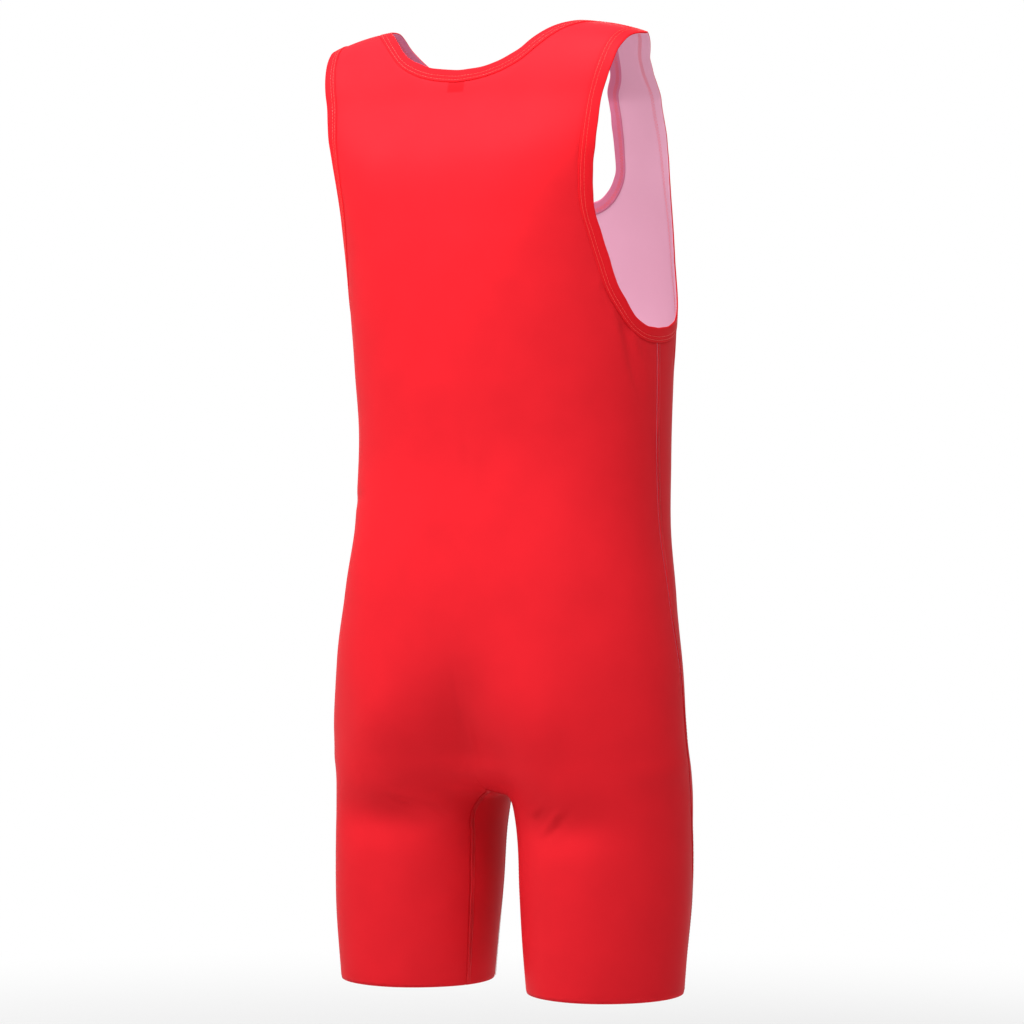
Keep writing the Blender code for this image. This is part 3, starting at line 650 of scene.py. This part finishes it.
# Stretch knit: fine upright wales and level courses on the panel's own UV, in metres, under a slow mottle
# of tone. The emission stands for light that comes through the cloth
def knitMaterial(name, colour, roughness, deeper=0.96, paintLabelShade=False, through=0.0):
    material, nodes, links, shader = nodeMaterial(name, colour, roughness)
    shader.inputs["Emission Color"].default_value = (*colour, 1)
    shader.inputs["Emission Strength"].default_value = through
    shader.inputs["IOR"].default_value = knit["ior"]
    place = addNode(nodes, "TexCoord")
    tone = addNode(nodes, "TexNoise", {"Scale": knit["mottleSize"], "Detail": 5})
    links.new(place.outputs["Object"], tone.inputs["Vector"])
    spread = 5 * knit["mottle"]
    ramp = addNode(nodes, "MapRange", {"From Min": 0.3, "From Max": 0.7,
                                       "To Min": 0.5 - spread, "To Max": 0.5 + spread})
    links.new(tone.outputs["Fac"], ramp.inputs["Value"])
    mix = addNode(nodes, "Mix", {"A": (*[c * deeper for c in colour], 1),
                                 "B": (*[min(1, c * (2 - deeper)) for c in colour], 1)}, data_type="RGBA")
    links.new(ramp.outputs["Result"], mix.inputs["Factor"])
    colourOut = mix.outputs["Result"]
    # painted shade: the base colour is darkened over the label's patch
    if paintLabelShade:
        colourOut = labelShadow(nodes, links, place, colourOut)
    links.new(colourOut, shader.inputs["Base Color"])

    uvMap = addNode(nodes, "UVMap", uv_map="knit")
    split = addNode(nodes, "SeparateXYZ")
    links.new(uvMap.outputs["UV"], split.inputs["Vector"])
    both = addNode(nodes, "Math", operation="ADD")
    for k, (axis, width) in enumerate((("X", knit["waleWidth"]), ("Y", knit["courseHeight"]))):
        turn = addNode(nodes, "Math", {1: 2 * math.pi / width}, operation="MULTIPLY")
        links.new(split.outputs[axis], turn.inputs[0])
        wave = addNode(nodes, "Math", operation="SINE")
        links.new(turn.outputs[0], wave.inputs[0])
        links.new(wave.outputs[0], both.inputs[k])
    bump = addNode(nodes, "Bump", {"Strength": knit["bump"], "Distance": knit["depth"]})
    links.new(both.outputs[0], bump.inputs["Height"])
    links.new(bump.outputs["Normal"], shader.inputs["Normal"])
    return material


# Thread or tape with a fine wave of relief
def wavedMaterial(name, colour, roughness, scale, strength, direction="X", distortion=0.0):
    material, nodes, links, shader = nodeMaterial(name, colour, roughness)
    place = addNode(nodes, "TexCoord")
    wave = addNode(nodes, "TexWave", {"Scale": scale, "Distortion": distortion}, bands_direction=direction)
    links.new(place.outputs["Object"], wave.inputs["Vector"])
    bump = addNode(nodes, "Bump", {"Strength": strength, "Distance": 0.00005})
    links.new(wave.outputs["Fac"], bump.inputs["Height"])
    links.new(bump.outputs["Normal"], shader.inputs["Normal"])
    return material


# Painted shade where the label lies under the knit: a deeper patch, the product of a soft mask along
# each axis, in object space
label = {"width": 0.0160, "height": 0.0110, "wall": 0.0007, "top": -0.0485, "deeper": 0.74}


def labelShadow(nodes, links, place, colourOut):
    split = addNode(nodes, "SeparateXYZ")
    links.new(place.outputs["Object"], split.inputs["Vector"])
    product = None
    for axis, low, high, soft in (("X", -label["width"] / 2, label["width"] / 2, 0.0009),
                                  ("Z", label["top"] - label["height"], label["top"], 0.0012),
                                  ("Y", 0.02, 0.12, 0.01)):
        centre = addNode(nodes, "Math", {1: (low + high) / 2}, operation="SUBTRACT")
        links.new(split.outputs[axis], centre.inputs[0])
        size = addNode(nodes, "Math", operation="ABSOLUTE")
        links.new(centre.outputs[0], size.inputs[0])
        reach = (high - low) / 2
        mask = addNode(nodes, "MapRange", {"From Min": reach - soft, "From Max": reach + soft,
                                           "To Min": 1, "To Max": 0}, interpolation_type="SMOOTHSTEP")
        links.new(size.outputs[0], mask.inputs["Value"])
        product = mask.outputs["Result"] if product is None else timesOf(nodes, links, product, mask)
    shade = addNode(nodes, "Mix", {"B": (label["deeper"], label["deeper"] * 0.8, label["deeper"] * 0.85, 1)},
                    data_type="RGBA", blend_type="MULTIPLY")
    links.new(product, shade.inputs["Factor"])
    links.new(colourOut, shade.inputs["A"])
    return shade.outputs["Result"]


def timesOf(nodes, links, product, mask):
    times = addNode(nodes, "Math", operation="MULTIPLY")
    links.new(product, times.inputs[0])
    links.new(mask.outputs["Result"], times.inputs[1])
    return times.outputs[0]


# the outer knit carries the label's painted shade
outsideCloth = knitMaterial("redKnit", (0.58, 0.0125, 0.0195), 0.46, paintLabelShade=True)
insideCloth = knitMaterial("knitReverse", (0.470, 0.252, 0.332), 0.75, deeper=0.98, through=0.5)
bandCloth = knitMaterial("redBinding", (0.60, 0.0100, 0.0160), 0.46)
bandInside = knitMaterial("bindingReverse", (0.42, 0.125, 0.20), 0.75, deeper=0.90, through=0.4)

# Panels. flat and area are the cut before it stretches over the body
panels = {
    "backPanel": {"node": "back_panel", "half": backHalf, "flat": (0.42, 0.78), "area": 0.275},
    "frontPanel": {"node": "front_panel", "half": frontHalf, "flat": (0.40, 0.70), "area": 0.228},
}
for name, facts in panels.items():
    panelPiece(name, facts["half"], facts["node"])
print("panels sewn")


# Gusset: its back and front edges are the panels' inner edges and its middle runs up the inside of the
# leg, then over a quarter of an ellipse to the fork's crown; each row is the quadratic curve through the
# three, on the form
gusset = {"columns": 8, "arch": -0.735, "crownRise": 0.12, "lapShare": 0.5,
          "flat": (0.080, 0.31), "area": 0.0200}


def gussetHalf(columns):
    fine = cut["fine"]
    coarse = np.array(cut["levels"][:cut["forkRow"] + 1])
    level = finerRows(coarse, fine)
    inAcross, inUp, inTurn, inTilt = smoothTable(cut["inner"], level).T
    start = np.stack([inAcross, np.full(len(level), wornForm["axis"]), inUp], -1)
    a, b = np.radians(inTurn), np.radians(inTilt)
    way = np.stack([np.cos(a) * np.cos(b), np.sin(a) * np.cos(b), np.sin(b)], -1)
    back, front = castRays(start, way), castRays(start, way * np.array([1, -1, 1]))
    middle = castRays(np.stack([inAcross, start[:, 1], level], -1), np.array([-1.0, 0, 0]))
    foot = np.flatnonzero(level <= gusset["arch"] + 1e-6)[-1]
    turn = (level[foot:] - level[foot]) / (level[-1] - level[foot]) * np.pi / 2
    above = np.array([[0, wornForm["axis"], gusset["arch"] + gusset["crownRise"]]])
    crown = castRays(above, np.array([[0, 0, -1.0]]))[0]
    rise = (crown[2] - middle[foot, 2]) * np.sin(turn)
    middle[foot:] = settle(np.stack([middle[foot, 0] * np.cos(turn), wornForm["axis"] + 0 * turn,
                                     middle[foot, 2] + rise], -1))
    v = columnPlaces(columns * fine)[None, :, None]
    pull = 2 * middle[:, None] - (back + front)[:, None] / 2
    grid = settle((1 - v)**2 * back[:, None] + 2 * v * (1 - v) * pull + v**2 * front[:, None])
    grid[:, 0], grid[:, -1] = back, front
    grid[-1, :, 0] = 0
    return grid, level


grid, level = gussetHalf(gusset["columns"])
fromBack, fromFront = rowRun(grid)
up = runLength(grid[:, grid.shape[1] // 2])
values = np.stack([fromBack, up[:, None] * np.ones(grid.shape[1]), np.minimum(fromBack, fromFront)], -1)
points, faces, extra = sheetOf([(grid, False, values), (mirrored(grid), True, values)])
outward = outwardAt(points)
fromHem = points[:, 2] - cut["hem"]
lift = unevenHeight(points) + gusset["lapShare"] * lapHeight(extra[:, 2], True) - rolledIn(fromHem)
shell, shellFaces, inner = shellOf(points + outward * lift[:, None], faces, outward, wallAt(fromHem))
piece = addMesh("gussetPiece", shell, shellFaces, [outsideCloth, insideCloth], inner,
                np.tile(extra[:, :2], (2, 1)))
stand(piece, ["gusset"])
print("gusset sewn")


# Bindings: a folded band carried round each opening. Its profile goes from the seam side over the top to
# the free edge and back below: distance from the seam, height above the panel's outer face. The two
# cover-stitch rows dent it by a bell each
binding = {
    "over": 0.0010,        # how far it laps over the panel's cut edge
    "rise": 0.00062,
    "rows": (0.0011, 0.0041),     # cover stitch rows, from the seam line
    "dent": 0.00024, "dentWidth": 0.00045,
    "wave": 0.00055, "waveLength": 0.034,
    "flat": {"neckBinding": (0.0115, 0.72), "armBindingLeft": (0.0135, 0.60),
             "armBindingRight": (0.0135, 0.60)},
}


def bandProfile(width):
    b = binding
    turn = np.linspace(0.1, np.pi - 0.1, 9)
    across = np.concatenate([
        -b["over"] + np.array([0.0, 0.0001, 0.0003, 0.0006]),
        np.linspace(0.0002, width - 0.0016, 26),
        width - 0.0010 + 0.0011 * np.sin(turn) - 0.0001,
        np.linspace(width - 0.0016, -b["over"] + 0.0003, 10), [-b["over"]]])
    top = 4 + 26
    height = np.empty(len(across))
    height[:4] = [0.00010, 0.00034, 0.00050, 0.00056]
    flatPart = across[4:top]
    height[4:top] = b["rise"] - sum(b["dent"] * np.exp(-((flatPart - r) / b["dentWidth"])**2)
                                    for r in b["rows"])
    half = (b["rise"] + panelWall["wall"] + b["rise"]) / 2
    height[top:top + 9] = b["rise"] - half + half * np.cos(turn)
    height[top + 9:] = -panelWall["wall"] - b["rise"]
    height[-1] = -panelWall["wall"] - 0.0002
    return across, height, top + 5


# Even stations round a closed ring
def evenRing(ring, spacing):
    closed = np.vstack([ring, ring[:1]])
    run = runLength(closed)
    count = int(round(run[-1] / spacing))
    at = np.linspace(0, run[-1], count, endpoint=False)
    return np.stack([np.interp(at, run, closed[:, k]) for k in range(3)], -1), run[-1]


def smoothRing(values, times):
    for _ in range(times):
        values = (np.roll(values, 1, 0) + 2 * values + np.roll(values, -1, 0)) / 4
    return values


# A band's seam ring at even stations, its direction across, and how far its free edge wanders: a sum of
# sines
def bandFrame(ring, width, seed):
    ring, length = evenRing(ring, 0.0019)
    ring = settle(smoothRing(ring, 6))
    across = unit(smoothRing(sideways(ring, ring.mean(0) - ring), 8))
    rng = np.random.default_rng(seed)
    turn = np.linspace(0, 2 * np.pi, len(ring), endpoint=False)
    wander = np.zeros(len(ring))
    for k in range(1, 6):
        cycles = max(1, round(length / binding["waveLength"] * k / 3))
        wander += np.sin(cycles * turn + rng.uniform(0, 2 * np.pi)) / k
    return ring, across, wander * binding["wave"] / 1.6, length


def bandPiece(name, ring, width, node, seed, lining, side=1):
    ring, across, wander, length = bandFrame(ring, width, seed)
    distance, height, insideFrom = bandProfile(width)
    rows = []
    for d, h in zip(distance, height):
        place = settle(ring + across * (d + wander * max(d, 0) / width)[:, None])
        rows.append(place + outwardAt(place) * h)
    grid = np.stack(rows, 1) * np.array([side, 1, 1])
    m, k = grid.shape[:2]
    i = np.arange(m * k).reshape(m, k)
    j = np.roll(i, -1, 0)
    faces = np.stack([i, np.roll(i, -1, 1), np.roll(j, -1, 1), j], -1).reshape(-1, 4)
    points = grid.reshape(-1, 3)
    a, b, c, d = (points[faces[:, q]] for q in range(4))
    size = (np.einsum("ij,ij->i", a, np.cross(b, c)) + np.einsum("ij,ij->i", a, np.cross(c, d))).sum()
    faces = faces if size > 0 else faces[:, ::-1]
    inner = np.tile(((np.arange(k) >= insideFrom) & (np.arange(k) < k - 1)).astype(int), m)
    run = np.linspace(0, length, m, endpoint=False)
    around = runLength(grid[0])
    uv = np.stack([np.tile(around, m), np.repeat(run, k)], -1)
    piece = addMesh(name, points, faces, [bandCloth, lining], inner, uv)
    stand(piece, [node])
    return {"ring": ring, "across": across, "wander": wander, "width": width, "side": side}


bands = [
    bandPiece("neckBinding", neckRing, cut["neckBinding"], "neck_binding", 3, bandInside),
    bandPiece("armBindingLeft", armRing, cut["armBinding"], "armhole_binding_left", 5, insideCloth),
    bandPiece("armBindingRight", armRing, cut["armBinding"], "armhole_binding_right", 8, insideCloth,
              side=-1),
]
print("bindings sewn")


# Sewing thread
thread = {"radius": 0.00017, "stitch": 0.0026, "pitch": 0.0031, "sides": 6, "proud": 0.00010,
          "bandLooper": 0.0030, "seamLooper": 0.0022}


bindingThread = wavedMaterial("bindingThread", (0.80, 0.060, 0.050), 0.42, 900, 0.3, distortion=1.5)
seamThread = wavedMaterial("seamThread", (0.56, 0.009, 0.016), 0.42, 900, 0.3, distortion=1.5)


# Stitches: short round threads that dip into the cloth at both ends. Each lies along the path between two
# places, its radius and height follow the root of a sine along its length
def stitchRow(path, outward, closed):
    whole, out = ((np.vstack([v, v[:1]]) if closed else v) for v in (path, outward))
    run = runLength(whole)
    count = int(run[-1] // thread["pitch"])
    first = np.arange(count) * run[-1] / count
    t = np.linspace(0, 1, 6)
    at = first[:, None] + t * thread["stitch"]
    centre = np.stack([np.interp(at, run, whole[:, k]) for k in range(3)], -1)
    normal = unit(np.stack([np.interp(at, run, out[:, k]) for k in range(3)], -1))
    arch = np.sqrt(np.clip(np.sin(np.pi * (0.06 + 0.88 * t)), 0, 1))[None, :, None]
    centre = centre + normal * (thread["proud"] * (2 * arch - 1.2))
    tangent = unit(np.gradient(centre, axis=1))
    binormal = unit(np.cross(tangent, normal))
    turn = np.linspace(0, 2 * np.pi, thread["sides"], endpoint=False)[None, None, :, None]
    radius = thread["radius"] * (0.35 + 0.65 * arch)[..., None]
    around = np.cos(turn) * normal[:, :, None] + np.sin(turn) * binormal[:, :, None]
    rings = centre[:, :, None] + radius * around
    m, k, s = rings.shape[:3]
    i = np.arange(m * k * s).reshape(m, k, s)
    nxt = np.roll(i, -1, 2)
    quad = np.stack([i[:, :-1], nxt[:, :-1], nxt[:, 1:], i[:, 1:]], -1).reshape(-1, 4)
    caps = []
    for end, order in ((0, -1), (k - 1, 1)):
        ringIds = i[:, end][:, ::order]
        caps += [ringIds[:, [0, 1, 2, 3]], ringIds[:, [0, 3, 4, 5]]]
    return rings.reshape(-1, 3), np.concatenate([quad] + caps)


# Looper thread: a round thread carried to and fro between two rows, across = half the width times a
# flattened sine
def looperThread(path, outward, across, half, pitch, closed):
    whole, out, side = ((np.vstack([v, v[:1]]) if closed else v) for v in (path, outward, across))
    run = runLength(whole)
    turns = int(run[-1] // pitch)
    at = np.linspace(0, run[-1], turns * 8 + 1)
    phase = np.linspace(0, turns * 2 * np.pi, turns * 8 + 1)
    swing = np.tanh(1.6 * np.sin(phase)) / math.tanh(1.6)
    centre, normal, way = (np.stack([np.interp(at, run, v[:, k]) for k in range(3)], -1)
                           for v in (whole, out, side))
    centre = centre + way * (half * swing)[:, None]
    tangent = unit(np.gradient(centre, axis=0))
    normal = unit(normal)
    binormal = unit(np.cross(tangent, normal))
    turn = np.linspace(0, 2 * np.pi, thread["sides"], endpoint=False)[None, :, None]
    around = np.cos(turn) * normal[:, None] + np.sin(turn) * binormal[:, None]
    rings = centre[:, None] + thread["radius"] * 0.8 * around
    m, s = rings.shape[:2]
    i = np.arange(m * s).reshape(m, s)
    nxt = np.roll(i, -1, 1)
    quad = np.stack([i[:-1], nxt[:-1], nxt[1:], i[1:]], -1).reshape(-1, 4)
    caps = np.array([i[0][[3, 2, 1, 0]], i[0][[5, 4, 3, 0]], i[-1][[0, 1, 2, 3]], i[-1][[0, 3, 4, 5]]])
    return rings.reshape(-1, 3), np.concatenate([quad, caps])


def gather(parts):
    first = np.cumsum([0] + [len(p) for p, f in parts])
    return np.concatenate([p for p, f in parts]), np.concatenate([f + n for (p, f), n in zip(parts, first)])


def threadPiece(name, parts, material):
    points, faces = gather(parts)
    mesh = bpy.data.meshes.new(name)
    mesh.vertices.add(len(points))
    mesh.vertices.foreach_set("co", points.ravel())
    mesh.loops.add(faces.size)
    mesh.loops.foreach_set("vertex_index", faces.ravel())
    mesh.polygons.add(len(faces))
    mesh.polygons.foreach_set("loop_start", np.arange(0, faces.size, 4))
    mesh.update(calc_edges=True)
    mesh.materials.append(material)
    mesh.shade_smooth()
    piece = bpy.data.objects.new(name, mesh)
    bpy.context.scene.collection.objects.link(piece)
    stand(piece, [])
    return piece


# Cover stitches on the bindings: two rows outside, a looper inside
parts = []
for band in bands:
    flipSide = np.array([band["side"], 1, 1])
    lines = {}
    for distance in (*binding["rows"], sum(binding["rows"]) / 2):
        away = distance + band["wander"] * distance / band["width"]
        at = settle(band["ring"] + band["across"] * away[:, None])
        lines[distance] = (at, outwardAt(at))
    for distance in binding["rows"]:
        at, out = lines[distance]
        height = binding["rise"] - binding["dent"] + thread["proud"]
        parts.append(stitchRow((at + out * height) * flipSide, out * flipSide, True))
    at, out = lines[sum(binding["rows"]) / 2]
    low = -panelWall["wall"] - binding["rise"] - thread["radius"] * 0.5
    half = (binding["rows"][1] - binding["rows"][0]) / 2
    parts.append(looperThread((at + out * low) * flipSide, -out * flipSide, band["across"] * flipSide, half,
                              thread["bandLooper"], True))
threadPiece("bindingStitches", parts, bindingThread)


# Flatlock stitches: two needle rows on the lap and a looper between them, along one edge of a sheet.
# The line is given by its points, and by directions across it, towards the lap
def flatlock(line, towards):
    outward = outwardAt(line)
    tangent = unit(np.gradient(line, axis=0))
    across = unit(np.cross(outward, tangent))
    across = across * np.sign((across * towards).sum(-1, keepdims=True))
    rows = [settle(line + across * distance) for distance in (0.0007, seam["lap"] - 0.0008)]
    lift = seam["rise"] + thread["radius"] * 0.35
    made = [stitchRow(at + outwardAt(at) * lift, outwardAt(at), False) for at in rows]
    middle = settle(line + across * seam["lap"] / 2)
    half = (seam["lap"] - 0.0015) / 2
    made.append(looperThread(middle + outwardAt(middle) * lift, outwardAt(middle), across, half,
                             thread["seamLooper"], False))
    return made


def trimmed(line, spacing, first=0.0, last=0.0):
    run = runLength(line)
    at = np.arange(first, run[-1] - last, spacing)
    return np.stack([np.interp(at, run, line[:, k]) for k in range(3)], -1)


parts = []
sideLine = trimmed(frontHalf["main"][:, 0], 0.003, 0.0015, 0.001)
innerLine = frontHalf["main"][:frontHalf["fork"] + 1, -1]
backInner = backHalf["main"][:backHalf["fork"] + 1, -1]
for line, towards in ((sideLine, np.array([0, -1.0, 0])),
                      (trimmed(innerLine, 0.003, 0.0015, 0.002), np.array([0, 1.0, 0])),
                      (trimmed(backInner, 0.003, 0.0015, 0.002), np.array([0, -1.0, 0])),
                      (trimmed(frontHalf["strap"][-1], 0.002, 0.001, 0.001), np.array([0, -1.0, 0]))):
    made = flatlock(line, towards)
    parts += made
    parts += [(mirrored(p), f[:, ::-1]) for p, f in made]
threadPiece("seamStitches", parts, seamThread)
print("stitches sewn")

# Blank label inside the back neck: a plate on the panel's inner face with softly rounded edges, sewn at
# its top
labelMaterial = wavedMaterial("labelTape", (0.80, 0.74, 0.74), 0.55, 700, 0.25, "Z")
topAt = backHalf["body"][-1, -1, 2] - 0.0012
u, v = np.meshgrid(np.linspace(-0.5, 0.5, 17), np.linspace(0, 1, 13))
guide = np.stack([u * label["width"], np.full(u.shape, 0.09), topAt - v * label["height"]], -1)
start = np.stack([guide[..., 0], np.full(u.shape, wornForm["axis"]), guide[..., 2]], -1)
grid = castRays(start, unit(guide - start))
border = np.minimum(np.minimum(u + 0.5, 0.5 - u) * label["width"], np.minimum(v, 1 - v) * label["height"])
grid = grid - outwardAt(grid) * (panelWall["wall"] + 0.00060)
points, faces, border = sheetOf([(grid, False, border[..., None])])
outward = outwardAt(points)
thick = label["wall"] * (0.45 + 0.55 * np.sqrt(np.clip(border[:, 0] / 0.0008, 0, 1)))
curl = 0.0006 * smoothStep((topAt - points[:, 2]) / label["height"])
shell, shellFaces, _ = shellOf(points - outward * curl[:, None], faces, outward, thick)
piece = addMesh("blankLabel", shell, shellFaces, [labelMaterial])
stand(piece, ["neck_label"])
print("label sewn")

# Camera at the photograph's viewing angle: level with the waist, behind the wearer's right
shot = {"azimuth": 210.0, "elevation": 1.03, "distance": 3.2, "lens": 126.4, "target": (0.0, -0.0355, -0.424)}


# Direction from the object towards an azimuth and elevation in degrees; azimuth 0 is in front of the wearer
def towards(azimuth, elevation):
    a, e = math.radians(azimuth), math.radians(elevation)
    return Vector((math.sin(a) * math.cos(e), -math.cos(a) * math.cos(e), math.sin(e)))


camera = bpy.data.objects.new("shotCamera", bpy.data.cameras.new("shotCamera"))
bpy.context.scene.collection.objects.link(camera)
camera.data.sensor_width = 36
camera.data.lens = shot["lens"]
back = towards(shot["azimuth"], shot["elevation"])
camera.location = Vector(shot["target"]) + back * shot["distance"]
camera.rotation_mode = "QUATERNION"
camera.rotation_quaternion = (-back).to_track_quat("-Z", "Y")
camera.data.clip_start, camera.data.clip_end = 0.05, 200
bpy.context.scene.camera = camera

# Studio: soft boxes round the garment, a pale floor that fades into the pale surround
studio = {
    "lights": [
        # name, azimuth, elevation, distance, size, watts
        ("keyBox", 186, 60, 1.50, 1.1, 39),
        ("leftBox", 122, 30, 2.4, 1.0, 24),
        ("frontFill", 20, 20, 2.8, 1.6, 8),
    ],
    "surround": 0.50,       # tone of the room, and of the lit backdrop behind the garment
    "backdrop": 1.0,
    "backdropReach": (24, 12.5),    # degrees off the line of sight, where it starts and where it is full
    "floorLevel": -1.10, "floorTone": 0.72, "floorSize": 60.0,
    "floorFade": (1.2, 2.4),        # distances over which the floor turns into backdrop
}
for name, azimuth, elevation, distance, size, watts in studio["lights"]:
    lamp = bpy.data.lights.new(name, "AREA")
    lamp.shape = "DISK"
    lamp.size = size
    lamp.energy = watts
    box = bpy.data.objects.new(name, lamp)
    box.location = Vector(shot["target"]) + towards(azimuth, elevation) * distance
    box.rotation_mode = "QUATERNION"
    box.rotation_quaternion = towards(azimuth, elevation).to_track_quat("Z", "Y")
    bpy.context.scene.collection.objects.link(box)
world = bpy.data.worlds.new("paleSurround")
world.use_nodes = True
nodes, links = world.node_tree.nodes, world.node_tree.links
place = addNode(nodes, "TexCoord")
facing = addNode(nodes, "VectorMath", {1: -back}, operation="DOT_PRODUCT")
links.new(place.outputs["Generated"], facing.inputs[0])
wide, narrow = (math.cos(math.radians(angle)) for angle in studio["backdropReach"])
tone = addNode(nodes, "MapRange", {"From Min": wide, "From Max": narrow, "To Min": studio["surround"],
                                   "To Max": studio["backdrop"]}, interpolation_type="SMOOTHSTEP")
links.new(facing.outputs["Value"], tone.inputs["Value"])
nodes["Background"].inputs["Color"].default_value = (1, 1, 1, 1)
links.new(tone.outputs["Result"], nodes["Background"].inputs["Strength"])
bpy.context.scene.world = world
bpy.context.scene.view_settings.view_transform = "Standard"

floorMaterial, nodes, links, shader = nodeMaterial("paleFloor", (studio["floorTone"],) * 3, 0.9)
shader.inputs["Specular IOR Level"].default_value = 0.0
place = addNode(nodes, "TexCoord")
far = addNode(nodes, "VectorMath", operation="LENGTH")
links.new(place.outputs["Object"], far.inputs[0])
nearEdge, farEdge = studio["floorFade"]
fade = addNode(nodes, "MapRange", {"From Min": nearEdge, "From Max": farEdge},
               interpolation_type="SMOOTHSTEP")
links.new(far.outputs["Value"], fade.inputs["Value"])
glow = addNode(nodes, "Emission", {"Strength": studio["backdrop"]})
both = addNode(nodes, "MixShader")
links.new(fade.outputs["Result"], both.inputs["Fac"])
links.new(shader.outputs["BSDF"], both.inputs[1])
links.new(glow.outputs["Emission"], both.inputs[2])
links.new(both.outputs["Shader"], nodes["Material Output"].inputs["Surface"])
half = studio["floorSize"] / 2
floorMesh = bpy.data.meshes.new("studioFloor")
corners = [(x * half, y * half, studio["floorLevel"]) for x, y in ((-1, -1), (1, -1), (1, 1), (-1, 1))]
floorMesh.from_pydata(corners, [], [(0, 1, 2, 3)])
floorMesh.materials.append(floorMaterial)
floor = bpy.data.objects.new("studioFloor", floorMesh)
bpy.context.scene.collection.objects.link(floor)
print("studio set")
